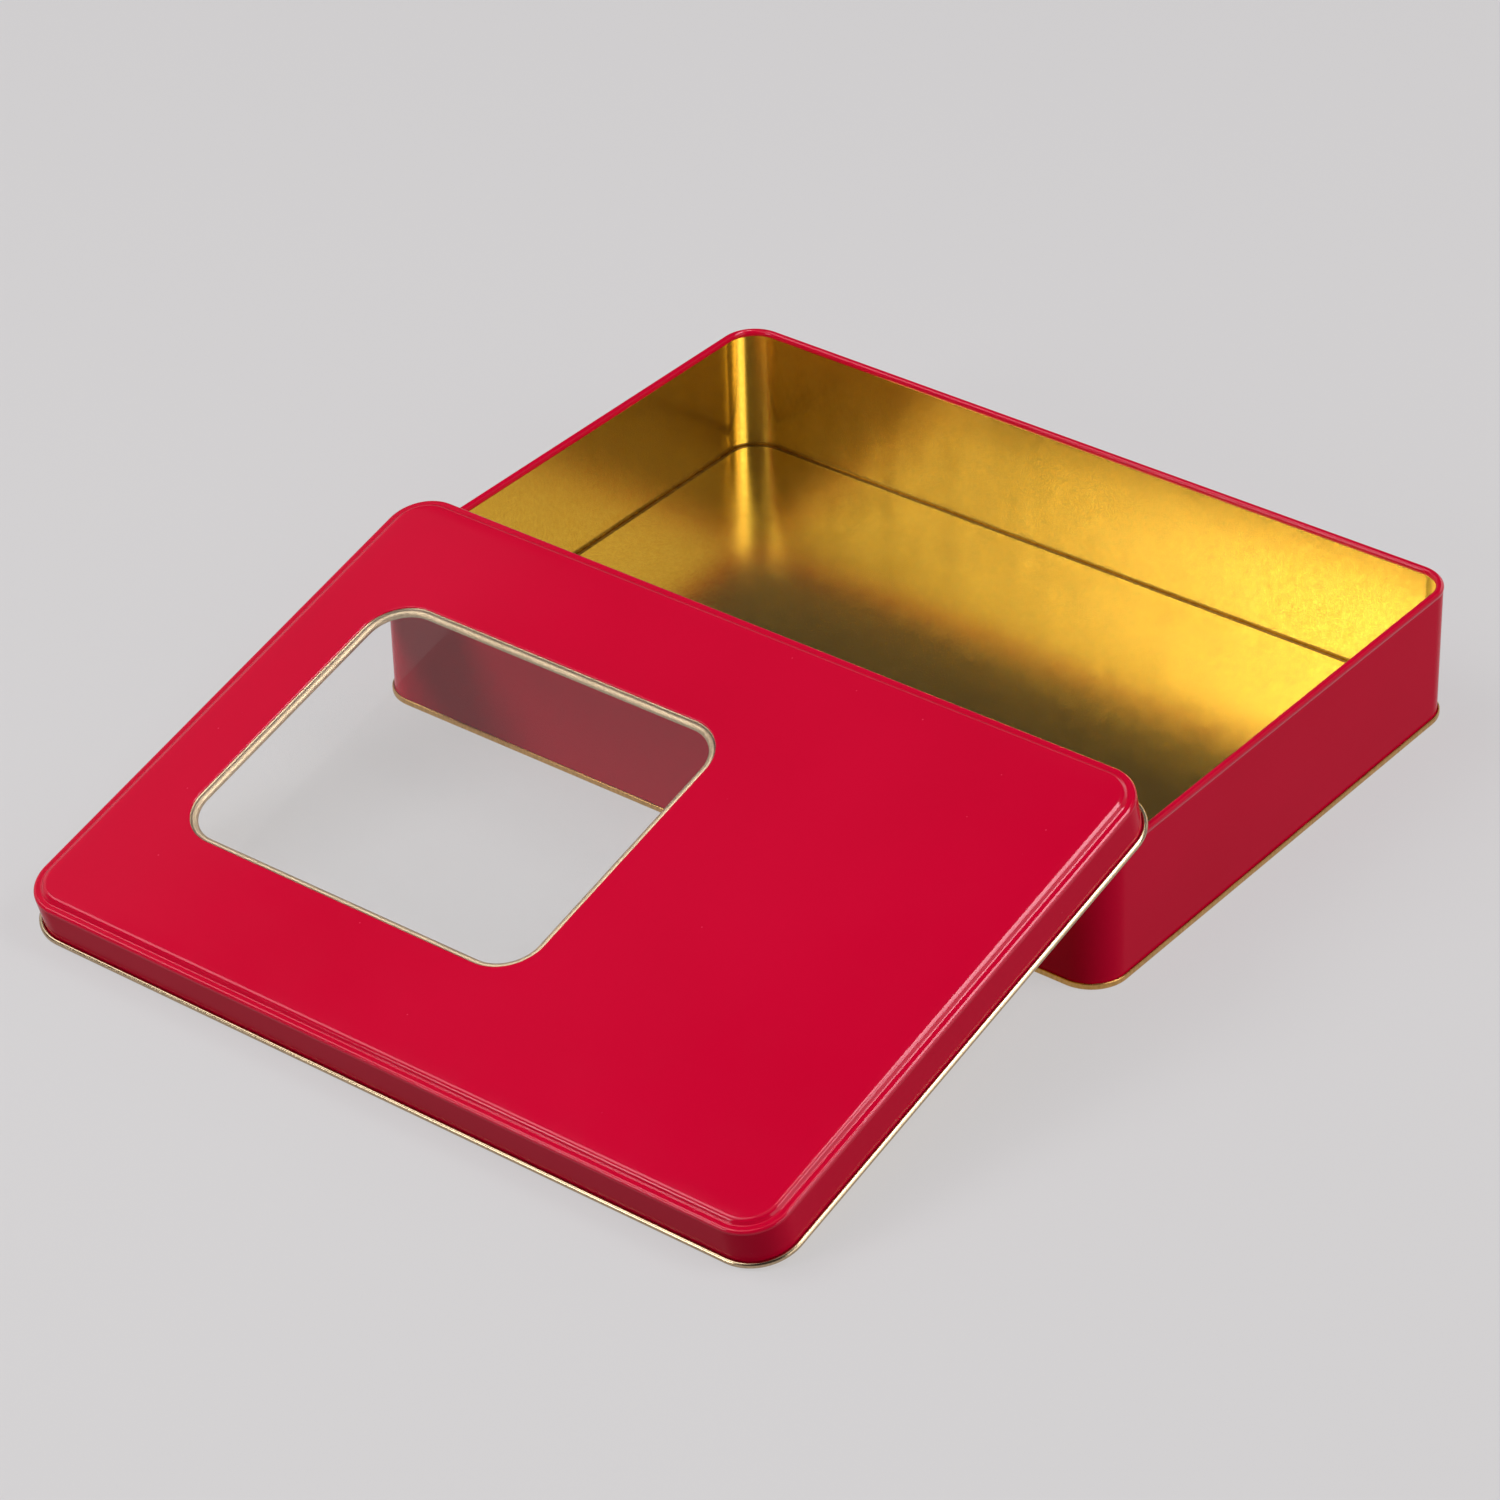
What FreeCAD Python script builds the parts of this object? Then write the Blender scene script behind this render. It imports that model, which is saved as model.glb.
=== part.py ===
import FreeCAD, Part
import math
import os

# Rectangular cookie tin with a lift-off window lid, in millimetres, +Z up.
#
# The open base stands on its bottom seam. The lid is off: its front edge stands on the same
# surface and its rear edge lies across the rims of the base's two short walls. The origin is
# the bottom centre of the box around both, X runs along the long walls and the lid lies
# towards -Y. Each bent sheet is drawn as a cross-section and swept round a rounded rectangle.

Vector = FreeCAD.Vector
UP = Vector(0, 0, 1)

# Tinplate, and the gap left between sheets that are folded or laid against each other
sheet = 0.25
fold_gap = 0.03

# Base: four walls in one strip, with an inward curl at the rim
base_length = 300.0
base_width = 206.0
base_height = 51.5
base_corner = 13.0
rim_bead = 2.75
rim_proud = 0.15
rim_curl_turn = 300.0
rim_neck_radius = 1.0

# Lock seam that closes the strip of the wall, on the inside of the front wall
lock_seam_width = 4.0
lock_seam_from_centre = 80.0
lock_seam_margin = 0.6

# Bottom plate: floor, and the double seam that joins it to the wall
floor_height = 3.0
floor_edge_radius = 0.6
seam_height = 2.3
hook_clearance = 0.05

# Lid: raised panel, ledge, skirt and outward curl
lid_clearance = 0.75
lid_corner_ease = 1.0
lid_height = 15.0
panel_rise = 1.5
panel_slope = 45.0
panel_edge_radius = 1.0
ledge_width = 1.2
shoulder_radius = 1.2
lid_bead = 2.0
lid_curl_turn = 300.0

# Window: hole in the panel, clear film under it, and the rolled frame under the film
window_length = 143.7
window_width = 115.9
window_corner = 16.0
window_side_margin = 27.4
window_back_shift = 0.95
window_lip_depth = 0.5
window_lip_radius = 0.4
film_thickness = 0.2
film_overlap = 4.5
frame_overlap = 4.0
frame_band = 2.4
frame_groove_radius = 0.4
frame_groove_slope = 50.0
frame_curl_turn = 250.0

# How the lid leans: its rear edge's place behind the front wall, its small sideways offset,
# and the gap where its curl crosses the rims
lean_overlap = 30.3
lean_sideways = 0.4
lean_gap = 0.2

# Length of flat sheet that each swept edge carries before the flat plate takes over
edge_margin = 3.0

half_sheet = sheet / 2


class Section:
    """Cross-section of a bent sheet, drawn along its middle plane as straight runs and bends.

    Points are (outward, up). The heading is in degrees, 0 outward and 90 up, and a positive
    bend turns to the left of the heading.
    """

    def __init__(self, outward, up, heading):
        self.outward = outward
        self.up = up
        self.heading = heading
        self.pieces = []

    def normal(self, heading):
        angle = math.radians(heading + 90)
        return math.cos(angle), math.sin(angle)

    def offset(self, side, outward, up, heading):
        """Point on one face of the sheet: side 1 is left of the heading, -1 is right."""
        out, rise = self.normal(heading)
        return outward + side * half_sheet * out, up + side * half_sheet * rise

    def add(self, stations):
        """Keep both faces' points at the start, middle and end of a piece."""
        left = [self.offset(1, *station) for station in stations]
        right = [self.offset(-1, *station) for station in stations]
        self.pieces.append((left, right, len(stations) == 3))
        self.outward, self.up, self.heading = stations[-1]

    def run(self, length):
        angle = math.radians(self.heading)
        end = (self.outward + length * math.cos(angle), self.up + length * math.sin(angle))
        self.add([(self.outward, self.up, self.heading), (*end, self.heading)])
        return self

    def bend(self, radius, turn):
        side = math.copysign(1, turn)
        out, rise = self.normal(self.heading)
        centre = (self.outward + side * radius * out, self.up + side * radius * rise)
        stations = []
        for share in (0, 0.5, 1):
            heading = self.heading + share * turn
            out, rise = self.normal(heading)
            stations.append((centre[0] - side * radius * out, centre[1] - side * radius * rise, heading))
        self.add(stations)
        return self

    def wire(self, origin, out):
        """Closed outline of the sheet, in the upright plane through origin that holds out."""

        def place(point):
            return origin + out * point[0] + UP * point[1]

        def edge(points, is_bend):
            spots = [place(point) for point in points]
            if is_bend:
                return Part.Arc(*spots).toShape()
            return Part.makeLine(*spots)

        left = [edge(piece[0], piece[2]) for piece in self.pieces]
        right = [edge(piece[1], piece[2]) for piece in self.pieces]
        start_cap = Part.makeLine(place(self.pieces[0][1][0]), place(self.pieces[0][0][0]))
        end_cap = Part.makeLine(place(self.pieces[-1][0][-1]), place(self.pieces[-1][1][-1]))
        return Part.Wire([start_cap] + left + [end_cap] + right[::-1])


def around(section, length, width, corner):
    """Solid swept by a section round a rounded rectangle centred on the origin.

    The section's zero line rides on the rectangle, and outward is away from its middle.
    """
    faces = []
    for quarter in range(4):
        angle = math.radians(90 * quarter)
        out = Vector(round(math.cos(angle)), round(math.sin(angle)), 0)
        along = UP.cross(out)
        reach, half_side = (length / 2, width / 2) if quarter % 2 == 0 else (width / 2, length / 2)
        straight = along * (half_side - corner)
        faces += section.wire(out * reach - straight, out).extrude(straight * 2).Faces
        pivot = out * (reach - corner) + straight
        faces += section.wire(out * reach + straight, out).revolve(pivot, UP, 90).Faces
    skin = Part.makeCompound(faces)
    skin.sewShape()
    solid = Part.makeSolid(skin.Shells[0])
    if solid.Volume < 0:
        solid.reverse()
    return solid


def plate(length, width, corner, thickness, bottom):
    """Flat plate with round corners, centred on the origin."""
    outline = []
    for quarter in range(4):
        angle = math.radians(90 * quarter)
        out = Vector(round(math.cos(angle)), round(math.sin(angle)), 0)
        along = UP.cross(out)
        reach, half_side = (length / 2, width / 2) if quarter % 2 == 0 else (width / 2, length / 2)
        straight = along * (half_side - corner)
        diagonal = (out + along) * (corner / math.sqrt(2))
        pivot = out * (reach - corner) + straight
        outline.append(Part.makeLine(out * reach - straight, out * reach + straight))
        outline.append(Part.Arc(out * reach + straight, pivot + diagonal, pivot + along * corner).toShape())
    flat = Part.Face(Part.Wire(outline)).extrude(UP * thickness)
    flat.translate(UP * bottom)
    return flat


def join(*solids):
    """Fuse the swept edges and flat plates of one sheet into one solid."""
    return solids[0].multiFuse(list(solids[1:])).removeSplitter()


def wall_section():
    """Wall, from the tip of its hook in the bottom seam up to the end of the rim's curl."""
    bead_radius = rim_bead / 2 - half_sheet
    neck_turn = math.degrees(math.acos(1 - rim_proud / (2 * rim_neck_radius)))
    neck_rise = 2 * rim_neck_radius * math.sin(math.radians(neck_turn))
    wall_rise = base_height - rim_bead / 2 - neck_rise - seam_bend_height
    section = Section(hook_place, hook_tip, -90)
    section.run(hook_tip - seam_bend_height)
    section.bend(hook_bend, -180)
    section.run(wall_rise)
    section.bend(rim_neck_radius, -neck_turn)
    section.bend(rim_neck_radius, neck_turn)
    section.bend(bead_radius, rim_curl_turn)
    return section


def body_wall():
    """The four walls, with the lock seam that closes them on the inside of the front wall."""
    walls = around(wall_section(), base_length, base_width, base_corner)
    seam_bottom = floor_height + lock_seam_margin
    seam_top = base_height - rim_bead - lock_seam_margin
    seam_layers = 2 * sheet
    lock_seam = Part.makeBox(lock_seam_width, seam_layers + half_sheet, seam_top - seam_bottom)
    inner_face = -base_width / 2 + half_sheet
    lock_seam.translate(Vector(lock_seam_from_centre - lock_seam_width / 2, inner_face, seam_bottom))
    return join(walls, lock_seam)


def bottom_plate():
    """Floor, the short wall down from it and the double seam that wraps the wall's hook."""
    chuck_place = -half_sheet - sheet - fold_gap
    floor_middle = floor_height - half_sheet
    section = Section(chuck_place - floor_edge_radius - edge_margin, floor_middle, 0)
    section.run(edge_margin)
    section.bend(floor_edge_radius, -90)
    section.run(floor_middle - floor_edge_radius - seam_bend_height)
    section.bend(seam_bend, 180)
    section.run(cover_bend_height - seam_bend_height)
    section.bend(hook_bend, 180)
    section.run(cover_bend_height - seam_bend_height - hook_clearance)
    seam = around(section, base_length, base_width, base_corner)
    floor_inset = 2 * (chuck_place - floor_edge_radius - edge_margin)
    floor = plate(
        base_length + floor_inset,
        base_width + floor_inset,
        base_corner + floor_inset / 2,
        sheet,
        floor_height - sheet,
    )
    return join(seam, floor)


def lid_section():
    """Lid, from the raised panel out over the ledge and down the skirt to its outward curl."""
    slope = math.radians(panel_slope)
    curve_rise = 2 * panel_edge_radius * (1 - math.cos(slope))
    slope_run = (panel_rise - curve_rise) / math.sin(slope)
    curve_width = 2 * panel_edge_radius * math.sin(slope)
    step_width = curve_width + slope_run * math.cos(slope)
    panel_inset = shoulder_radius + ledge_width + step_width + edge_margin
    section = Section(-panel_inset, lid_height + panel_rise - half_sheet, 0)
    section.run(edge_margin)
    section.bend(panel_edge_radius - half_sheet, -panel_slope)
    section.run(slope_run)
    section.bend(panel_edge_radius + half_sheet, panel_slope)
    section.run(ledge_width)
    section.bend(shoulder_radius - half_sheet, -90)
    section.run(lid_height - shoulder_radius - lid_bead / 2)
    section.bend(lid_bead / 2 - half_sheet, lid_curl_turn)
    return section, panel_inset


def window_lip_section():
    """Edge of the window hole, rolled down towards the film."""
    lip_bend = window_lip_radius - half_sheet
    section = Section(window_lip_radius + edge_margin, lid_height + panel_rise - half_sheet, 180)
    section.run(edge_margin)
    section.bend(lip_bend, 90)
    section.run(window_lip_depth - window_lip_radius)
    return section


def in_window(solid):
    """Move a piece from the lid's middle to the middle of the window."""
    window_place = window_side_margin + window_length / 2 - lid_length / 2
    solid.translate(Vector(window_place, window_back_shift, 0))
    return solid


def lid_shell():
    """Lid pressed from one sheet, with the hole for the window."""
    section, panel_inset = lid_section()
    rim = around(section, lid_length, lid_width, lid_corner)
    panel = plate(
        lid_length - 2 * panel_inset,
        lid_width - 2 * panel_inset,
        lid_corner - panel_inset,
        sheet,
        lid_height + panel_rise - sheet,
    )
    lip_margin = window_lip_radius + edge_margin
    hole = plate(
        window_length + 2 * lip_margin,
        window_width + 2 * lip_margin,
        window_corner + lip_margin,
        3 * sheet,
        lid_height + panel_rise - 2 * sheet,
    )
    lip = around(window_lip_section(), window_length, window_width, window_corner)
    return join(rim, panel.cut(in_window(hole)), in_window(lip))


def window_film():
    """Clear film that lies against the lip of the window hole."""
    film = plate(
        window_length + 2 * film_overlap,
        window_width + 2 * film_overlap,
        window_corner + film_overlap,
        film_thickness,
        film_top - film_thickness,
    )
    return in_window(film)


def window_frame():
    """Frame that backs the film: a flat flange, a groove under the lip and a rolled bead."""
    slope = math.radians(frame_groove_slope)
    bead_bend = frame_band / 2 - half_sheet
    groove_half_width = (bead_bend + frame_groove_radius) * math.sin(slope)
    flange_inner = 2 * groove_half_width - frame_band / 2
    flange_height = film_top - film_thickness - fold_gap - half_sheet
    section = Section(frame_overlap, flange_height, 180)
    section.run(frame_overlap - flange_inner)
    section.bend(bead_bend, frame_groove_slope)
    section.bend(frame_groove_radius, -2 * frame_groove_slope)
    section.bend(bead_bend, frame_groove_slope + frame_curl_turn)
    return in_window(around(section, window_length, window_width, window_corner))


def leaning_placement():
    """Where the lid leans, with its own origin at its middle on the plane of its lower edge.

    Its front curl touches the ground. Its rear curl crosses the rims of the short walls on its
    corner arcs, and the two round beads lie the gap apart there, which sets the slope.
    """
    bead_out = lid_bead / 2 - sheet
    curl_x = lid_length / 2 + bead_out
    curl_y = lid_width / 2 + bead_out
    curl_corner = lid_corner + bead_out
    rim_x = base_length / 2 + rim_proud - rim_bead / 2
    over_corner = rim_x + lean_sideways - (curl_x - curl_corner)
    past_corner = math.sqrt(curl_corner**2 - over_corner**2)
    crossing_span = 2 * curl_y - curl_corner + past_corner
    bead_reach = lid_bead / 2 + rim_bead / 2 + lean_gap

    # The crossing's height depends a little on the slope itself, so the two settle together
    slope = 0.0
    for _ in range(20):
        crossing_rise = bead_reach * math.hypot(1, slope * over_corner / past_corner)
        slope = (base_height - rim_bead / 2 + crossing_rise - lid_bead / 2) / crossing_span
    tilt = math.asin(slope)

    bead_centre = lid_bead / 2
    rear_edge_y = -base_width / 2 + lean_overlap
    y = rear_edge_y - curl_y * math.cos(tilt) + bead_centre * math.sin(tilt)
    z = bead_centre + curl_y * math.sin(tilt) - bead_centre * math.cos(tilt)
    curl_front = curl_y * math.cos(tilt) + bead_centre * math.sin(tilt) + bead_centre
    shoulder_y = lid_width / 2 - shoulder_radius
    shoulder_z = lid_height - shoulder_radius
    shoulder_front = shoulder_y * math.cos(tilt) + shoulder_z * math.sin(tilt) + shoulder_radius
    front_y = y - max(curl_front, shoulder_front)
    rotation = FreeCAD.Rotation(Vector(1, 0, 0), math.degrees(tilt))
    print("lid leans at", round(math.degrees(tilt), 3), "degrees")
    return FreeCAD.Placement(Vector(lean_sideways, y, z), rotation), front_y


def save(name, solid):
    """Write one piece, moved so that the origin is the bottom centre of the whole."""
    solid.translate(-whole_centre)
    print(name, "valid", solid.isValid(), "solids", len(solid.Solids), "mm3", round(solid.Volume, 1))
    solid.exportStep("parts/" + name + ".step")


# Double seam, from inside to outside: short wall of the bottom plate, wall, the bottom plate's
# hook, the wall's hook, and the outer layer of the bottom plate
hook_bend = sheet + fold_gap
hook_place = half_sheet + sheet + 2 * fold_gap
seam_bend = 2 * hook_bend
seam_bend_height = seam_bend + half_sheet
cover_bend_height = seam_height - hook_bend - half_sheet
hook_tip = cover_bend_height - hook_clearance
seam_proud = 3 * (sheet + fold_gap)

# Lid sizes that follow the base
lid_length = base_length + 2 * (lid_clearance + sheet)
lid_width = base_width + 2 * (lid_clearance + sheet)
lid_corner = base_corner + lid_clearance + sheet + lid_corner_ease
film_top = lid_height + panel_rise - window_lip_depth - fold_gap

lean, lid_front_y = leaning_placement()
base_back_y = base_width / 2 + seam_proud
whole_centre = Vector(lean_sideways, (lid_front_y + base_back_y) / 2, 0)

os.makedirs("parts", exist_ok=True)
save("body_wall", body_wall())
save("bottom_plate", bottom_plate())
for name, make in (("lid_shell", lid_shell), ("window_film", window_film), ("window_frame", window_frame)):
    piece = make()
    piece.Placement = lean.multiply(piece.Placement)
    save(name, piece)
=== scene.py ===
import math

import bpy
from mathutils import Matrix, Vector


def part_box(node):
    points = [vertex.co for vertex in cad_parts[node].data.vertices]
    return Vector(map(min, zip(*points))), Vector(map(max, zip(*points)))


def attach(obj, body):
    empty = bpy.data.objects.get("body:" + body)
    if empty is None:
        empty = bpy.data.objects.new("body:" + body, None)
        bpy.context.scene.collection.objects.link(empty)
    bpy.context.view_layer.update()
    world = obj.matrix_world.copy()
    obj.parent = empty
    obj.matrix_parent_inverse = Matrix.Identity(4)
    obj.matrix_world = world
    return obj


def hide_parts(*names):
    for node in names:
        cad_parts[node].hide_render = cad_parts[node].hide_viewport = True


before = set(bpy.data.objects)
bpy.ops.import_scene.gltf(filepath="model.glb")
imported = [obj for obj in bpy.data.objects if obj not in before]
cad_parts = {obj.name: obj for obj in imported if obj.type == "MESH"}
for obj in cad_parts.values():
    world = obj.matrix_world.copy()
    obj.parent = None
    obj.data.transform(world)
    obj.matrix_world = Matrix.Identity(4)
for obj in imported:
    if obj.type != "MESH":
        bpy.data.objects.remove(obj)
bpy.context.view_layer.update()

# Rectangular cookie tin, red outside and gold inside, with its window lid leaning on the base.
# Every metal piece is a bent sheet: a cross-section swept round a rounded rectangle, with the
# lacquer of each face of the sheet as its own material. Lengths are in metres.

MM = 0.001
UP = Vector((0, 0, 1))

# Sheet, and the roundness of the meshes. Turns and slopes are in degrees.
SHEET = 0.25 * MM
HALF_SHEET = SHEET / 2
FOLD_GAP = 0.03 * MM
BEND_STEP = 10.0
CORNER_STEPS = 20
SIDE_STEPS = 8

# Base
RIM_BEAD = 2.75 * MM
RIM_PROUD = 0.15 * MM
RIM_NECK_RADIUS = 1.0 * MM
BASE_CORNER = 13.0 * MM
FLOOR_HEIGHT = 3.0 * MM
FLOOR_EDGE_RADIUS = 0.6 * MM
SEAM_HEIGHT = 2.3 * MM
HOOK_CLEARANCE = 0.05 * MM
LOCK_SEAM_WIDTH = 4.0 * MM
LOCK_SEAM_DEPTH = 2 * SHEET + HALF_SHEET
LOCK_SEAM_FROM_CENTRE = 80.0 * MM
LOCK_SEAM_MARGIN = 0.6 * MM

# Lid
LID_CORNER = 15.0 * MM
LID_BEAD = 2.0 * MM
PANEL_RISE = 1.5 * MM
PANEL_SLOPE = 45.0
PANEL_EDGE_RADIUS = 2.2 * MM
PANEL_FOOT_RADIUS = 0.8 * MM
LEDGE_WIDTH = 1.2 * MM
SHOULDER_RADIUS = 1.2 * MM
CURL_TURN = 300.0
CROWN_FALL = 0.12 * MM
CROWN_WIDTH = 6.0 * MM

# Window
WINDOW_CORNER = 16.0 * MM
WINDOW_LIP_DEPTH = 0.5 * MM
WINDOW_LIP_RADIUS = 0.4 * MM
FRAME_OVERLAP = 4.0 * MM
FRAME_BAND = 2.4 * MM
FRAME_GROOVE_RADIUS = 0.4 * MM
FRAME_GROOVE_SLOPE = 50.0
FRAME_CURL_TURN = 250.0

# Flat parts: EDGE_MARGIN is the flat sheet that each swept edge carries before they take over
EDGE_MARGIN = 3.0 * MM
# Width of the floor's last strip before its bend, which takes the painted crease shade
CREASE_SHADE_WIDTH = 0.9 * MM
PANEL_ROWS = 10
FLOOR_ROWS = 8

# Double seam. Each bend and place follows from the sheet's thickness and the gap in a fold.
HOOK_BEND = SHEET + FOLD_GAP
HOOK_PLACE = HALF_SHEET + SHEET + 2 * FOLD_GAP
SEAM_BEND = 2 * HOOK_BEND
SEAM_BEND_HEIGHT = SEAM_BEND + HALF_SHEET
COVER_BEND_HEIGHT = SEAM_HEIGHT - HOOK_BEND - HALF_SHEET
HOOK_TIP = COVER_BEND_HEIGHT - HOOK_CLEARANCE
SEAM_PROUD = 3 * (SHEET + FOLD_GAP)

# Materials of a metal piece, in the order of its slots. The curl, crease and seam golds are darker
# copies of the gold: painted shade.
RED, GOLD, EDGE, CURL_PAINTED_SHADE, CREASE_PAINTED_SHADE, SEAM_PAINTED_SHADE, SIDE_RED, FRAME_GOLD = range(8)

# Range that noise values mostly stay in
NOISE_LOW = 0.3
NOISE_HIGH = 0.7

# Red lacquer. Fineness is in features per metre.
LID_GLOSS = 0.35
SIDE_GLOSS = 0.03
RED_SHINE = (1.0, 0.7, 0.8, 1)
DARK_RED = (0.60, 0.0012, 0.028)
LIGHT_RED = (0.63, 0.0016, 0.032)
RED_TONE_FINENESS = 14.0
RED_ROUGHNESS = (0.09, 0.13)
RED_ROUGHNESS_FINENESS = 60.0
WAVE_FINENESS = 11.0
WAVE_DEPTH = 0.15 * MM
PEEL_FINENESS = 700.0
PEEL_DEPTH = 0.001 * MM
DUST_COLOUR = (0.75, 0.05, 0.11)
DUST_SPACING = 9.0 * MM
DUST_SIZE = 0.35 * MM
DUST_CORE = 0.5
DUST_SHARE = 0.35

# Lacquered or bare metal. A share under 1 along an axis draws the features out along it.
GRAIN_FINENESS = 1000.0
GRAIN_SHARES = (1, 1, 0.5)
PATCH_FINENESS = 110.0
PATCH_SHARES = (1, 1, 0.4)
METAL_DETAIL = 3.0

# Clear film
FILM_CLARITY = 0.98
FILM_IOR = 1.42
FILM_FINENESS = 80.0
FILM_ROUGHNESS = (0.0, 0.02)
FILM_SHADE = (0.96, 0.96, 0.96, 1)

# Studio. The world's colours are (height, colour), from the horizon up.
FLOOR_RADIUS = 15.0
FLOOR_SIDES = 96
FLOOR_COLOUR = (0.16, 0.157, 0.158, 1)
FLOOR_GLOW = (0.658, 0.644, 0.651, 1)
FLOOR_GLOW_STRENGTH = 0.766
EDGE_CARD_TURN = 40.0
WORLD_COLOURS = (
    (0.04, (0.50, 0.49, 0.495)),
    (0.15, (0.12, 0.096, 0.09)),
    (0.40, (0.10, 0.08, 0.075)),
    (0.75, (0.02, 0.016, 0.015)),
)

# Camera: azimuth, elevation and roll in degrees, lens and sensor in millimetres, and the point
# on the ground that it is aimed at, from the middle of the base
CAMERA_ANGLES = (38.94, 33.60, -1.67)
CAMERA_LENS = 131.58
CAMERA_SENSOR = 36.0
CAMERA_AIM = (-25.57 * MM, -56.67 * MM)
CAMERA_DISTANCE = 1837.09 * MM
CAMERA_CLIP_FACTOR = 10


class Section:
    """Cross-section of a bent sheet, drawn along its middle as straight runs and bends.

    Stations are (outward, up, heading), with the heading in degrees, 0 outward and 90 up. A
    positive bend turns to the left of the heading. Each stretch keeps the lacquer of its left
    and right faces.
    """

    def __init__(self, outward, up, heading, left, right):
        self.stations = [(outward, up, heading)]
        self.lacquer = {1: [], -1: []}
        self.coat(left, right)

    def coat(self, left, right):
        """Lacquer of both faces from here on."""
        self.left = left
        self.right = right

    def step(self, outward, up, heading):
        """Add a station, and the lacquer of the stretch up to it."""
        self.stations.append((outward, up, heading))
        self.lacquer[1].append(self.left)
        self.lacquer[-1].append(self.right)

    def run(self, length):
        """Straight stretch."""
        outward, up, heading = self.stations[-1]
        angle = math.radians(heading)
        self.step(outward + length * math.cos(angle), up + length * math.sin(angle), heading)

    def bend(self, radius, turn):
        """Round bend of the sheet's middle through a turn in degrees."""
        outward, up, heading = self.stations[-1]
        arm = math.copysign(radius, turn)
        normal = math.radians(heading + 90)
        centre_outward = outward + arm * math.cos(normal)
        centre_up = up + arm * math.sin(normal)
        steps = max(2, math.ceil(abs(turn) / BEND_STEP))
        for step in range(1, steps + 1):
            now = heading + turn * step / steps
            normal = math.radians(now + 90)
            self.step(centre_outward - arm * math.cos(normal), centre_up - arm * math.sin(normal), now)

    def face(self, side):
        """Points and normals, as (outward, up), of the left face (1) or the right face (-1)."""
        points = []
        normals = []
        for outward, up, heading in self.stations:
            angle = math.radians(heading + 90)
            normal = (side * math.cos(angle), side * math.sin(angle))
            normals.append(normal)
            points.append((outward + HALF_SHEET * normal[0], up + HALF_SHEET * normal[1]))
        return points, normals

    def tip(self, end):
        """Direction, as (outward, up), out of the sheet at its first (0) or last (-1) station."""
        heading = math.radians(self.stations[end][2])
        sign = -1 if end == 0 else 1
        return sign * math.cos(heading), sign * math.sin(heading)


def outline(length, width, corner, centre=(0, 0)):
    """Stations round a rounded rectangle: a point on it and the direction outward."""
    stations = []
    for quarter in range(4):
        start = math.pi / 2 * quarter
        out = Vector((round(math.cos(start)), round(math.sin(start)), 0))
        along = UP.cross(out)
        reach, half_side = (length / 2, width / 2) if quarter % 2 == 0 else (width / 2, length / 2)
        pivot = Vector((*centre, 0)) + out * (reach - corner) + along * (half_side - corner)
        side = along * 2 * (half_side - corner)
        for step in range(1, SIDE_STEPS):
            stations.append((pivot + out * corner - side * (1 - step / SIDE_STEPS), out))
        for step in range(CORNER_STEPS + 1):
            angle = math.pi / 2 * step / CORNER_STEPS
            turned = out * math.cos(angle) + along * math.sin(angle)
            stations.append((pivot + turned * corner, turned))
    return stations


def around(path, direction):
    """A direction of the section, (outward, up), at each station of a path."""
    return [out * direction[0] + UP * direction[1] for _, out in path]


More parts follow.
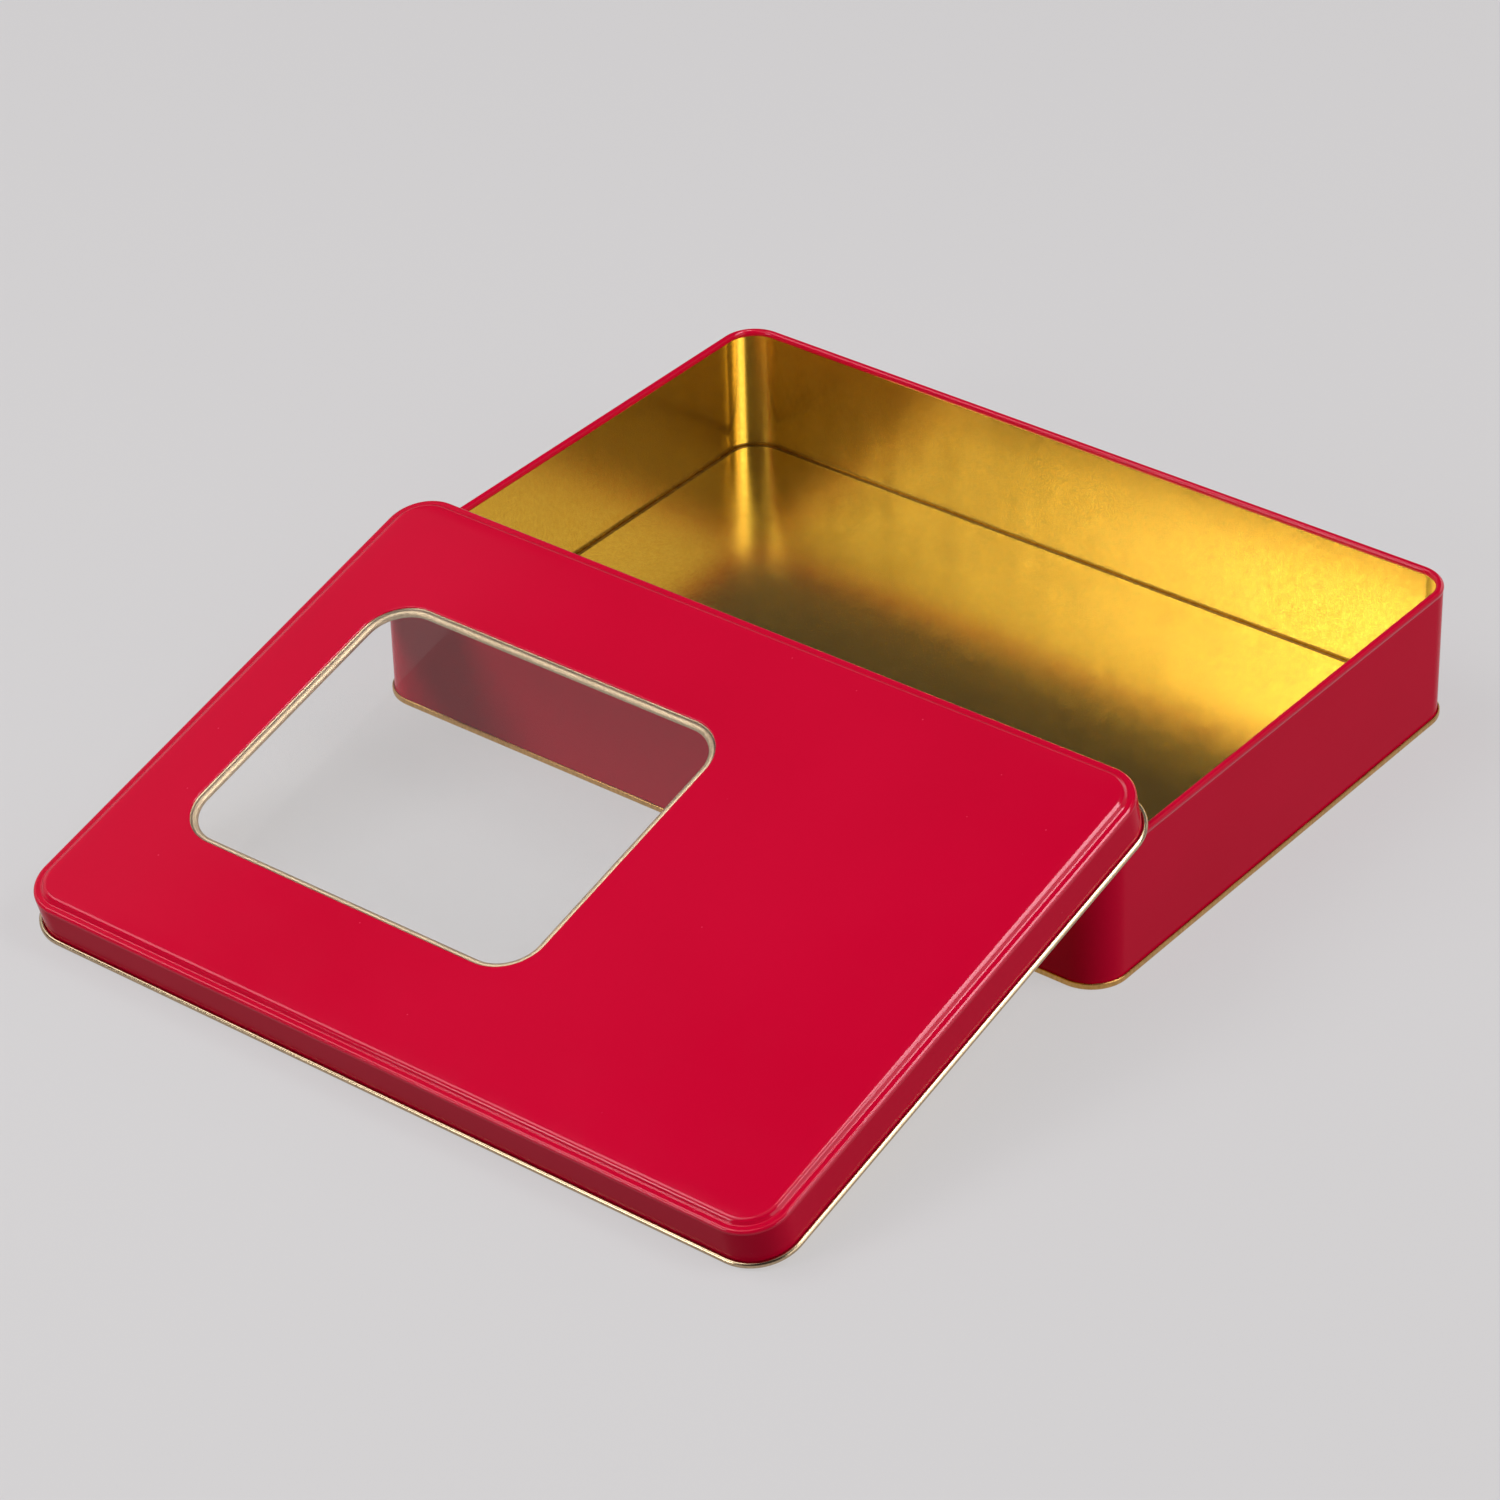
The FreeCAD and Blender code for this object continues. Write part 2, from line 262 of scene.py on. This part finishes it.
class Shell:
    """Mesh made of closed rows of points, with strips of faces between rows.

    Each face corner keeps the exact normal of the round or flat surface that it stands for. A
    face whose corners share one normal is flat shaded, so that no round neighbour bends it.
    """

    def __init__(self, name, materials):
        self.name = name
        self.materials = materials
        self.points = []
        self.faces = []
        self.normals = []
        self.slots = []
        self.smooth = []

    def row(self, points):
        """Add the points of a row; returns their numbers."""
        start = len(self.points)
        self.points += points
        return list(range(start, len(self.points)))

    def swept_row(self, path, point):
        """Row that a point of the section, (outward, up), makes along a path."""
        return self.row([spot + out * point[0] + UP * point[1] for spot, out in path])

    def face(self, corners, normals, slot):
        """Add a face, with its corners in the order that makes it look along its normals."""
        a, b, c = (self.points[corner] for corner in corners[:3])
        if (b - a).cross(c - b).dot(normals[0]) < 0:
            corners = corners[::-1]
            normals = normals[::-1]
        self.faces.append(corners)
        self.normals += normals
        self.slots.append(slot)
        self.smooth.append(any(normal != normals[0] for normal in normals))

    def strip(self, row_a, row_b, normals_a, normals_b, slot):
        """Ring of faces between two rows."""
        count = len(row_a)
        for i in range(count):
            j = (i + 1) % count
            corners = [row_a[i], row_a[j], row_b[j], row_b[i]]
            self.face(corners, [normals_a[i], normals_a[j], normals_b[j], normals_b[i]], slot)

    def sweep(self, path, section, cut_ends):
        """Both faces of a section and its cut edges; returns the faces' rows, left then right.

        The cut ends are 0 for the first station and -1 for the last.
        """
        made = []
        for side in (1, -1):
            points, directions = section.face(side)
            rows = [self.swept_row(path, point) for point in points]
            normals = [around(path, direction) for direction in directions]
            for k in range(len(rows) - 1):
                self.strip(rows[k], rows[k + 1], normals[k], normals[k + 1], section.lacquer[side][k])
            made.append(rows)
        left, right = made
        for end in cut_ends:
            normals = around(path, section.tip(end))
            self.strip(left[end], right[end], normals, normals, EDGE)
        return made

    def flat(self, outer, inner, normal, slot, steps):
        """Flat sheet between two rows, in rings of equal width."""
        normals = [normal] * len(outer)
        last = outer
        for step in range(1, steps):
            share = step / steps
            row = self.row([self.points[a].lerp(self.points[b], share) for a, b in zip(outer, inner)])
            self.strip(last, row, normals, normals, slot)
            last = row
        self.strip(last, inner, normals, normals, slot)

    def cap(self, row, normal, slot):
        """Flat face that closes a row."""
        self.face(list(row), [normal] * len(row), slot)

    def build(self, matrix=Matrix.Identity(4)):
        """The object, with its mesh moved by the matrix and its own place left at the origin."""
        mesh = bpy.data.meshes.new(self.name)
        mesh.from_pydata([matrix @ point for point in self.points], [], self.faces)
        for material in self.materials:
            mesh.materials.append(material)
        mesh.polygons.foreach_set("material_index", self.slots)
        mesh.polygons.foreach_set("use_smooth", self.smooth)
        turn = matrix.to_3x3()
        mesh.normals_split_custom_set([(turn @ normal).normalized() for normal in self.normals])
        mesh.update()
        piece = bpy.data.objects.new(self.name, mesh)
        bpy.context.scene.collection.objects.link(piece)
        return piece


class Nodes:
    """Node tree of a material or of the world, and the patterns made in it."""

    def __init__(self, owner):
        owner.use_nodes = True
        self.tree = owner.node_tree

    def make(self, kind, **inputs):
        """New node with its inputs set; an underscore stands for a space in a name."""
        node = self.tree.nodes.new(kind)
        for name, value in inputs.items():
            node.inputs[name.replace("_", " ")].default_value = value
        return node

    def link(self, source, target):
        """Join an output socket to an input socket."""
        self.tree.links.new(source, target)

    def maths(self, operation, first, second):
        """Result of a sum on two values, each a socket or a number."""
        node = self.make("ShaderNodeMath")
        node.operation = operation
        for place, value in enumerate((first, second)):
            if isinstance(value, float):
                node.inputs[place].default_value = value
            else:
                self.link(value, node.inputs[place])
        return node.outputs["Value"]

    def noise(self, fineness, detail=2.0, shares=(1, 1, 1)):
        """Noise of a given number of features per metre, or of a share of it along an axis."""
        place = self.make("ShaderNodeTexCoord")
        mapping = self.make("ShaderNodeMapping", Scale=[fineness * share for share in shares])
        texture = self.make("ShaderNodeTexNoise", Scale=1.0, Detail=detail)
        self.link(place.outputs["Object"], mapping.inputs["Vector"])
        self.link(mapping.outputs["Vector"], texture.inputs["Vector"])
        return texture.outputs["Fac"]

    def spread(self, value, low, high):
        """Noise turned into a value from low to high."""
        node = self.make(
            "ShaderNodeMapRange", From_Min=NOISE_LOW, From_Max=NOISE_HIGH, To_Min=low, To_Max=high
        )
        self.link(value, node.inputs["Value"])
        return node.outputs["Result"]

    def relief(self, height, depth, below=None):
        """Bump of a height that runs from 0 to 1 over the given depth in metres."""
        node = self.make("ShaderNodeBump", Strength=1.0, Distance=depth)
        self.link(height, node.inputs["Height"])
        if below is not None:
            self.link(below, node.inputs["Normal"])
        return node.outputs["Normal"]

    def specks(self, spacing, size, share):
        """1 on sparse round dust specks, else 0: the share is that of cells that hold one."""
        place = self.make("ShaderNodeTexCoord")
        cells = self.make("ShaderNodeTexVoronoi", Scale=1 / spacing, Randomness=1.0)
        self.link(place.outputs["Object"], cells.inputs["Vector"])
        rim = size / spacing
        core = DUST_CORE * rim
        near = self.make("ShaderNodeMapRange", From_Min=rim, From_Max=core, To_Min=0, To_Max=1)
        self.link(cells.outputs["Distance"], near.inputs["Value"])
        parts = self.make("ShaderNodeSeparateColor")
        self.link(cells.outputs["Color"], parts.inputs["Color"])
        chosen = self.maths("GREATER_THAN", parts.outputs["Red"], 1 - share)
        return self.maths("MULTIPLY", near.outputs["Result"], chosen)

    def mix(self, factor, first, second):
        """Blend of two colours, each a socket or a value."""
        node = self.make("ShaderNodeMix")
        node.data_type = "RGBA"
        self.link(factor, node.inputs["Factor"])
        for name, colour in (("A", first), ("B", second)):
            socket = [entry for entry in node.inputs if entry.name == name and entry.type == "RGBA"][0]
            if isinstance(colour, tuple):
                socket.default_value = (*colour, 1)
            else:
                self.link(colour, socket)
        return [entry for entry in node.outputs if entry.type == "RGBA"][0]

    def any_ray(self, *kinds):
        """1 for light paths of any of the given kinds, else 0."""
        rays = self.make("ShaderNodeLightPath")
        seen = rays.outputs[kinds[0]]
        for kind in kinds[1:]:
            seen = self.maths("MAXIMUM", seen, rays.outputs[kind])
        return seen

    def choose(self, factor, first, second):
        """Surface that is the first shader where the factor is 0, and the second where it is 1."""
        pick = self.make("ShaderNodeMixShader")
        self.link(factor, pick.inputs["Fac"])
        self.link(first, pick.inputs[1])
        self.link(second, pick.inputs[2])
        self.link(pick.outputs["Shader"], self.tree.nodes["Material Output"].inputs["Surface"])


def new_material(name):
    """A material with its nodes and its main shader."""
    material = bpy.data.materials.new(name)
    nodes = Nodes(material)
    return material, nodes, nodes.tree.nodes["Principled BSDF"]


def red_lacquer(name, gloss):
    """Red enamel: slightly wavy thin sheet, faint orange peel and a few dust specks."""
    material, nodes, shader = new_material(name)
    shader.inputs["Specular IOR Level"].default_value = gloss
    shader.inputs["Specular Tint"].default_value = RED_SHINE
    shade = nodes.spread(nodes.noise(RED_TONE_FINENESS, detail=1.0), 0, 1)
    tone = nodes.mix(shade, DARK_RED, LIGHT_RED)
    dust = nodes.specks(DUST_SPACING, DUST_SIZE, DUST_SHARE)
    nodes.link(nodes.mix(dust, tone, DUST_COLOUR), shader.inputs["Base Color"])
    roughness = nodes.spread(nodes.noise(RED_ROUGHNESS_FINENESS), *RED_ROUGHNESS)
    nodes.link(roughness, shader.inputs["Roughness"])
    waves = nodes.relief(nodes.noise(WAVE_FINENESS, detail=0.5), WAVE_DEPTH)
    peel = nodes.relief(nodes.noise(PEEL_FINENESS, detail=1.0), PEEL_DEPTH, waves)
    nodes.link(peel, shader.inputs["Normal"])
    return material


def metal(name, dark, bright, roughness, grain_depth):
    """Metal, bare or under a thin clear lacquer, with the fine upright grain of rolled sheet."""
    material, nodes, shader = new_material(name)
    shader.inputs["Metallic"].default_value = 1.0
    grain = nodes.noise(GRAIN_FINENESS, METAL_DETAIL, GRAIN_SHARES)
    tone = nodes.mix(nodes.spread(grain, 0, 1), dark, bright)
    nodes.link(tone, shader.inputs["Base Color"])
    patches = nodes.noise(PATCH_FINENESS, METAL_DETAIL, PATCH_SHARES)
    nodes.link(nodes.spread(patches, *roughness), shader.inputs["Roughness"])
    nodes.link(nodes.relief(grain, grain_depth), shader.inputs["Normal"])
    return material


def gold_lacquer():
    """Satin gold inside of the tin."""
    return metal(
        "gold_lacquer",
        dark=(0.89, 0.64, 0.165),
        bright=(1.0, 0.78, 0.265),
        roughness=(0.195, 0.225),
        grain_depth=0.006 * MM,
    )


def bare_edge():
    """Cut edge of the sheet: bare steel and tin."""
    return metal(
        "bare_tin_edge",
        dark=(0.42, 0.40, 0.37),
        bright=(0.58, 0.56, 0.53),
        roughness=(0.30, 0.45),
        grain_depth=0.002 * MM,
    )


def curl_gold_painted_shade():
    """Painted shade: darker, paler copy of the inner gold on the lid's curl, standing in for the dark
    surroundings that the curl mirrors.
    """
    return metal(
        "curl_gold_painted_shade",
        dark=(0.42, 0.32, 0.20),
        bright=(0.52, 0.40, 0.26),
        roughness=(0.20, 0.26),
        grain_depth=0.001 * MM,
    )


def crease_painted_shade_gold():
    """Painted shade: dark brown gold for the crease round the floor, standing in for the shade that
    falls there.
    """
    return metal(
        "crease_painted_shade_gold",
        dark=(0.16, 0.09, 0.02),
        bright=(0.28, 0.17, 0.05),
        roughness=(0.35, 0.45),
        grain_depth=0.004 * MM,
    )


def seam_gold_painted_shade():
    """Painted shade: darker gold of the double seam, standing in for the dark surroundings that it
    mirrors.
    """
    return metal(
        "seam_gold_painted_shade",
        dark=(0.45, 0.25, 0.07),
        bright=(0.62, 0.36, 0.12),
        roughness=(0.26, 0.34),
        grain_depth=0.002 * MM,
    )


def frame_gold():
    """Satin champagne of the rolled window frame."""
    return metal(
        "frame_gold",
        dark=(0.46, 0.35, 0.22),
        bright=(0.56, 0.43, 0.28),
        roughness=(0.42, 0.50),
        grain_depth=0.001 * MM,
    )


def clear_film():
    """Clear film, slightly uneven in its gloss; light reaches what is behind it."""
    material, nodes, shader = new_material("clear_film")
    shader.inputs["Base Color"].default_value = (1.0, 1.0, 1.0, 1)
    shader.inputs["Transmission Weight"].default_value = FILM_CLARITY
    shader.inputs["IOR"].default_value = FILM_IOR
    nodes.link(nodes.spread(nodes.noise(FILM_FINENESS), *FILM_ROUGHNESS), shader.inputs["Roughness"])
    shade = nodes.make("ShaderNodeBsdfTransparent", Color=FILM_SHADE)
    light = nodes.any_ray("Is Shadow Ray", "Is Diffuse Ray")
    nodes.choose(light, shader.outputs["BSDF"], shade.outputs["BSDF"])
    return material


def lock_seam(shell, base):
    """Folded strip that closes the wall, on the inner face of the front wall."""
    inner_face = base["centre"][1] - base["width"] / 2 + HALF_SHEET
    place = (base["centre"][0] + LOCK_SEAM_FROM_CENTRE, inner_face + LOCK_SEAM_DEPTH / 2)
    path = outline(LOCK_SEAM_WIDTH, LOCK_SEAM_DEPTH, SHEET, place)
    bottom = shell.swept_row(path, (0, FLOOR_HEIGHT + LOCK_SEAM_MARGIN))
    top = shell.swept_row(path, (0, base["height"] - RIM_BEAD - LOCK_SEAM_MARGIN))
    outs = [out for _, out in path]
    shell.strip(bottom, top, outs, outs, GOLD)
    shell.cap(bottom, -UP, GOLD)
    shell.cap(top, UP, GOLD)


def body_wall(materials, base):
    """Wall from its hook in the bottom seam to the curl of its rim, and its lock seam."""
    bead_radius = RIM_BEAD / 2 - HALF_SHEET
    neck_turn = math.degrees(math.acos(1 - RIM_PROUD / (2 * RIM_NECK_RADIUS)))
    neck_rise = 2 * RIM_NECK_RADIUS * math.sin(math.radians(neck_turn))
    section = Section(HOOK_PLACE, HOOK_TIP, -90, GOLD, SIDE_RED)
    section.run(HOOK_TIP - SEAM_BEND_HEIGHT)
    section.bend(HOOK_BEND, -180)
    section.run(base["height"] - RIM_BEAD / 2 - neck_rise - SEAM_BEND_HEIGHT)
    section.coat(GOLD, RED)
    section.bend(RIM_NECK_RADIUS, -neck_turn)
    section.bend(RIM_NECK_RADIUS, neck_turn)
    section.bend(bead_radius, CURL_TURN)
    shell = Shell("wall", materials)
    path = outline(base["length"], base["width"], BASE_CORNER, base["centre"])
    shell.sweep(path, section, (0, -1))
    lock_seam(shell, base)
    return shell.build()


def bottom_section():
    """Edge of the floor, the short wall down from it and the double seam round the wall's hook."""
    chuck_place = -HALF_SHEET - SHEET - FOLD_GAP
    floor_middle = FLOOR_HEIGHT - HALF_SHEET
    section = Section(chuck_place - FLOOR_EDGE_RADIUS - EDGE_MARGIN, floor_middle, 0, GOLD, GOLD)
    section.run(EDGE_MARGIN - CREASE_SHADE_WIDTH)
    # Painted shade: the last strip of the floor's top and its bend are darkened as the shade in the
    # crease.
    section.coat(CREASE_PAINTED_SHADE, GOLD)
    section.run(CREASE_SHADE_WIDTH)
    section.bend(FLOOR_EDGE_RADIUS, -90)
    # Painted shade: the seam's visible face takes the darker gold.
    section.coat(GOLD, SEAM_PAINTED_SHADE)
    section.run(floor_middle - FLOOR_EDGE_RADIUS - SEAM_BEND_HEIGHT)
    section.bend(SEAM_BEND, 180)
    section.run(COVER_BEND_HEIGHT - SEAM_BEND_HEIGHT)
    section.bend(HOOK_BEND, 180)
    section.run(COVER_BEND_HEIGHT - SEAM_BEND_HEIGHT - HOOK_CLEARANCE)
    return section


def bottom_plate(materials, base):
    """Floor with its seamed edge; rings of faces run in from the edge to a small middle face."""
    shell = Shell("bottom", materials)
    path = outline(base["length"], base["width"], BASE_CORNER, base["centre"])
    top, under = shell.sweep(path, bottom_section(), (-1,))
    for rows, height, normal in ((top, FLOOR_HEIGHT, UP), (under, FLOOR_HEIGHT - SHEET, -UP)):
        middle = Vector((*base["centre"], height))
        share = 1 / FLOOR_ROWS
        inner = shell.row([middle.lerp(shell.points[i], share) for i in rows[0]])
        shell.flat(rows[0], inner, normal, GOLD, FLOOR_ROWS - 1)
        shell.cap(inner, normal, GOLD)
    return shell.build()


def lid_section(height, panel_middle):
    """The lid from the crown of its panel over the step, ledge and skirt to the outward curl."""
    slope = math.radians(PANEL_SLOPE)
    crown_turn = math.degrees(2 * CROWN_FALL / CROWN_WIDTH)
    crown_radius = CROWN_WIDTH**2 / (2 * CROWN_FALL)
    edge_slope = math.radians(crown_turn)
    edge_bend = PANEL_EDGE_RADIUS - HALF_SHEET
    foot_bend = PANEL_FOOT_RADIUS + HALF_SHEET
    edge_fall = edge_bend * (math.cos(edge_slope) - math.cos(slope))
    foot_fall = foot_bend * (1 - math.cos(slope))
    slope_run = (PANEL_RISE - CROWN_FALL - edge_fall - foot_fall) / math.sin(slope)
    edge_width = edge_bend * (math.sin(slope) - math.sin(edge_slope))
    curve_width = edge_width + foot_bend * math.sin(slope)
    step_width = curve_width + slope_run * math.cos(slope)
    crown_width = crown_radius * math.sin(edge_slope)
    panel_inset = SHOULDER_RADIUS + LEDGE_WIDTH + step_width + crown_width
    section = Section(-panel_inset, panel_middle, 0, RED, GOLD)
    section.bend(crown_radius, -crown_turn)
    section.bend(edge_bend, crown_turn - PANEL_SLOPE)
    section.run(slope_run)
    section.bend(foot_bend, PANEL_SLOPE)
    section.run(LEDGE_WIDTH)
    section.bend(SHOULDER_RADIUS - HALF_SHEET, -90)
    section.coat(SIDE_RED, GOLD)
    section.run(height - PANEL_RISE - SHOULDER_RADIUS - LID_BEAD / 2)
    # Painted shade: the curl's gold face takes the darker, paler copy of the inner gold.
    section.coat(RED, CURL_PAINTED_SHADE)
    section.bend(LID_BEAD / 2 - HALF_SHEET, CURL_TURN)
    return section


def lip_section(panel_middle):
    """Panel's edge round the window, turned down as a short lip."""
    section = Section(WINDOW_LIP_RADIUS + EDGE_MARGIN, panel_middle, 180, GOLD, RED)
    section.run(EDGE_MARGIN)
    section.bend(WINDOW_LIP_RADIUS - HALF_SHEET, 90)
    section.run(WINDOW_LIP_DEPTH - WINDOW_LIP_RADIUS)
    return section


def window_path(lid):
    """Stations round the window hole."""
    window = lid["window"]
    return outline(window["length"], window["width"], WINDOW_CORNER, window["centre"])


def lid_shell(materials, lid):
    """Lid pressed from one sheet, with its window hole."""
    panel_middle = lid["height"] - HALF_SHEET
    shell = Shell("lid", materials)
    path = outline(lid["length"], lid["width"], LID_CORNER)
    red, gold = shell.sweep(path, lid_section(lid["height"], panel_middle), (-1,))
    lip_gold, lip_red = shell.sweep(window_path(lid), lip_section(panel_middle), (-1,))
    shell.flat(red[0], lip_red[0], UP, RED, PANEL_ROWS)
    shell.flat(gold[0], lip_gold[0], -UP, GOLD, PANEL_ROWS)
    return shell.build(lid["matrix"])


def window_frame(materials, lid):
    """Rolled frame that backs the film: flange, groove under the lip, and bead."""
    slope = math.radians(FRAME_GROOVE_SLOPE)
    bead_bend = FRAME_BAND / 2 - HALF_SHEET
    groove_half_width = (bead_bend + FRAME_GROOVE_RADIUS) * math.sin(slope)
    flange_inner = 2 * groove_half_width - FRAME_BAND / 2
    section = Section(FRAME_OVERLAP, lid["frame_top"] - HALF_SHEET, 180, FRAME_GOLD, FRAME_GOLD)
    section.run(FRAME_OVERLAP - flange_inner)
    section.bend(bead_bend, FRAME_GROOVE_SLOPE)
    section.bend(FRAME_GROOVE_RADIUS, -2 * FRAME_GROOVE_SLOPE)
    section.bend(bead_bend, FRAME_GROOVE_SLOPE + FRAME_CURL_TURN)
    shell = Shell("window_ring", materials)
    shell.sweep(window_path(lid), section, (0, -1))
    return shell.build(lid["matrix"])


def measure_base():
    """Size and place of the base's wall, from the CAD nodes."""
    low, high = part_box("bottom_plate")
    return {
        "length": high.x - low.x - 2 * SEAM_PROUD,
        "width": high.y - low.y - 2 * SEAM_PROUD,
        "centre": ((low.x + high.x) / 2, (low.y + high.y) / 2),
        "height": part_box("body_wall")[1].z,
    }


def measure_lid():
    """The lid's own frame and sizes, from the CAD nodes.

    The largest face of the flat film gives the slope. In the lid's own frame, the origin is at
    the middle of the lid, on the plane of its lower edge.
    """
    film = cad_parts["window_film"].data
    normal = max(film.polygons, key=lambda face: face.area).normal
    normal = normal * math.copysign(1, normal.z)
    turn = Matrix.Rotation(math.atan2(-normal.y, normal.z), 4, "X")

    def box(node):
        spots = [turn.inverted() @ vertex.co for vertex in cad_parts[node].data.vertices]
        low = Vector([min(spot[i] for spot in spots) for i in range(3)])
        high = Vector([max(spot[i] for spot in spots) for i in range(3)])
        return low, high

    low, high = box("lid_shell")
    origin = Vector(((low.x + high.x) / 2, (low.y + high.y) / 2, low.z))
    curl_out = LID_BEAD - SHEET
    ring_low, ring_high = box("window_frame")
    ring_x = (ring_low.x + ring_high.x) / 2
    ring_y = (ring_low.y + ring_high.y) / 2
    return {
        "matrix": turn @ Matrix.Translation(origin),
        "length": high.x - low.x - 2 * curl_out,
        "width": high.y - low.y - 2 * curl_out,
        "height": high.z - low.z,
        "frame_top": ring_high.z - low.z,
        "window": {
            "length": ring_high.x - ring_low.x - 2 * FRAME_OVERLAP,
            "width": ring_high.y - ring_low.y - 2 * FRAME_OVERLAP,
            "centre": (ring_x - origin.x, ring_y - origin.y),
        },
    }


def make_floor():
    """Pale floor that keeps the object's shadow and lends it only a little light.

    Its glow is there for the camera, in shine and through the film, but lights nothing.
    """
    bpy.ops.mesh.primitive_circle_add(vertices=FLOOR_SIDES, radius=FLOOR_RADIUS, fill_type="NGON")
    floor = bpy.context.object
    floor.name = "studio_floor"
    material, nodes, shader = new_material("pale_floor")
    nodes.tree.nodes.remove(shader)
    diffuse = nodes.make("ShaderNodeBsdfDiffuse", Color=FLOOR_COLOUR)
    glow = nodes.make("ShaderNodeEmission", Color=FLOOR_GLOW, Strength=FLOOR_GLOW_STRENGTH)
    both = nodes.make("ShaderNodeAddShader")
    nodes.link(diffuse.outputs["BSDF"], both.inputs[0])
    nodes.link(glow.outputs["Emission"], both.inputs[1])
    seen = nodes.any_ray("Is Camera Ray", "Is Glossy Ray", "Is Transmission Ray")
    nodes.choose(seen, diffuse.outputs["BSDF"], both.outputs["Shader"])
    floor.data.materials.append(material)


def make_world():
    """Studio surroundings: pale at the horizon, and dimmer towards the top."""
    world = bpy.data.worlds.new("studio")
    bpy.context.scene.world = world
    nodes = Nodes(world)
    place = nodes.make("ShaderNodeTexCoord")
    parts = nodes.make("ShaderNodeSeparateXYZ")
    ramp = nodes.make("ShaderNodeValToRGB")
    stops = ramp.color_ramp.elements
    while len(stops) < len(WORLD_COLOURS):
        stops.new(1.0)
    for stop, (height, colour) in zip(stops, WORLD_COLOURS):
        stop.position = height
        stop.color = (*colour, 1)
    nodes.link(place.outputs["Generated"], parts.inputs["Vector"])
    nodes.link(parts.outputs["Z"], ramp.inputs["Fac"])
    nodes.link(ramp.outputs["Color"], nodes.tree.nodes["Background"].inputs["Color"])


def softbox(name, direction, distance, size, power):
    """Rectangular lamp that faces the origin, from an azimuth and elevation in degrees."""
    azimuth, elevation = (math.radians(angle) for angle in direction)
    level = math.cos(elevation)
    away = Vector((math.cos(azimuth) * level, math.sin(azimuth) * level, math.sin(elevation)))
    data = bpy.data.lights.new(name, "AREA")
    data.shape = "RECTANGLE"
    data.size, data.size_y = size
    data.energy = power
    lamp = bpy.data.objects.new(name, data)
    lamp.location = away * distance
    lamp.rotation_euler = away.to_track_quat("Z", "Y").to_euler()
    bpy.context.scene.collection.objects.link(lamp)
    return lamp


def edge_card(pieces):
    """Bright card over the right edge, seen only in the shine of the given pieces."""
    card = softbox("edge_card", direction=(57, 72), distance=2.2, size=(1.5, 0.5), power=28)
    card.rotation_euler.rotate_axis("Z", math.radians(EDGE_CARD_TURN))
    card.visible_diffuse = False
    shown = bpy.data.collections.new("edge_card_pieces")
    for piece in pieces:
        shown.objects.link(piece)
    card.light_linking.receiver_collection = shown


def make_camera(base):
    """Camera at the viewing angle, aimed at a point on the ground near the base."""
    azimuth, elevation, roll = (math.radians(angle) for angle in CAMERA_ANGLES)
    level = math.cos(elevation)
    back = Vector((math.sin(azimuth) * level, -math.cos(azimuth) * level, math.sin(elevation)))
    right = Vector((math.cos(azimuth), math.sin(azimuth), 0))
    rolled = right * math.cos(roll) + back.cross(right) * math.sin(roll)
    over = back.cross(rolled)
    data = bpy.data.cameras.new("camera")
    data.lens = CAMERA_LENS
    data.sensor_width = CAMERA_SENSOR
    camera = bpy.data.objects.new("camera", data)
    aim = Vector((base["centre"][0] + CAMERA_AIM[0], base["centre"][1] + CAMERA_AIM[1], 0))
    turn = Matrix((rolled, over, back)).transposed().to_4x4()
    camera.matrix_world = Matrix.Translation(aim + back * CAMERA_DISTANCE) @ turn
    data.clip_start = CAMERA_DISTANCE / CAMERA_CLIP_FACTOR
    data.clip_end = CAMERA_DISTANCE * CAMERA_CLIP_FACTOR
    bpy.context.scene.collection.objects.link(camera)
    bpy.context.scene.camera = camera


base = measure_base()
lid = measure_lid()
tin = [
    red_lacquer("red_lacquer", LID_GLOSS),
    gold_lacquer(),
    bare_edge(),
    curl_gold_painted_shade(),
    crease_painted_shade_gold(),
    seam_gold_painted_shade(),
    red_lacquer("red_side_lacquer", SIDE_GLOSS),
    frame_gold(),
]

wall = body_wall(tin, base)
cover = lid_shell(tin, lid)
ring = window_frame(tin, lid)
bottom = bottom_plate(tin, base)
for piece, node, body, slot in (
    (wall, "body_wall", "base", "red_tinplate"),
    (bottom, "bottom_plate", "base", "gold_tinplate"),
    (cover, "lid_shell", "lid", "red_tinplate"),
    (ring, "window_frame", "lid", "gold_tinplate"),
):
    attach(piece, body)
    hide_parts(node)

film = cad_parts["window_film"]
film.data.materials.clear()
film.data.materials.append(clear_film())

make_floor()
make_world()
softbox("key", direction=(249, 59), distance=0.85, size=(0.4, 0.4), power=1.15)
softbox("front_edges", direction=(202, 54), distance=2.2, size=(1.0, 1.0), power=12.5)
softbox("right_back", direction=(26, 52), distance=2.2, size=(0.8, 0.6), power=12)
edge_card((wall, cover, ring))
softbox("top", direction=(270, 90), distance=2.2, size=(1.6, 1.6), power=4.5)
softbox("left", direction=(180, 26), distance=2.2, size=(1.8, 1.2), power=5)
softbox("right", direction=(8, 22), distance=2.4, size=(1.9, 1.5), power=19)
softbox("back", direction=(84, 18), distance=2.4, size=(1.8, 0.9), power=7)
softbox("front", direction=(246, 23), distance=2.2, size=(0.7, 0.6), power=12)
softbox("back_right", direction=(50, 33), distance=2.2, size=(0.8, 0.8), power=1.0)
softbox("veil_wide", direction=(154, 47), distance=2.2, size=(1.5, 0.9), power=0.3)
softbox("veil_left", direction=(168, 44), distance=2.2, size=(0.8, 0.5), power=0.25)
make_camera(base)

bpy.context.scene.view_settings.view_transform = "Standard"
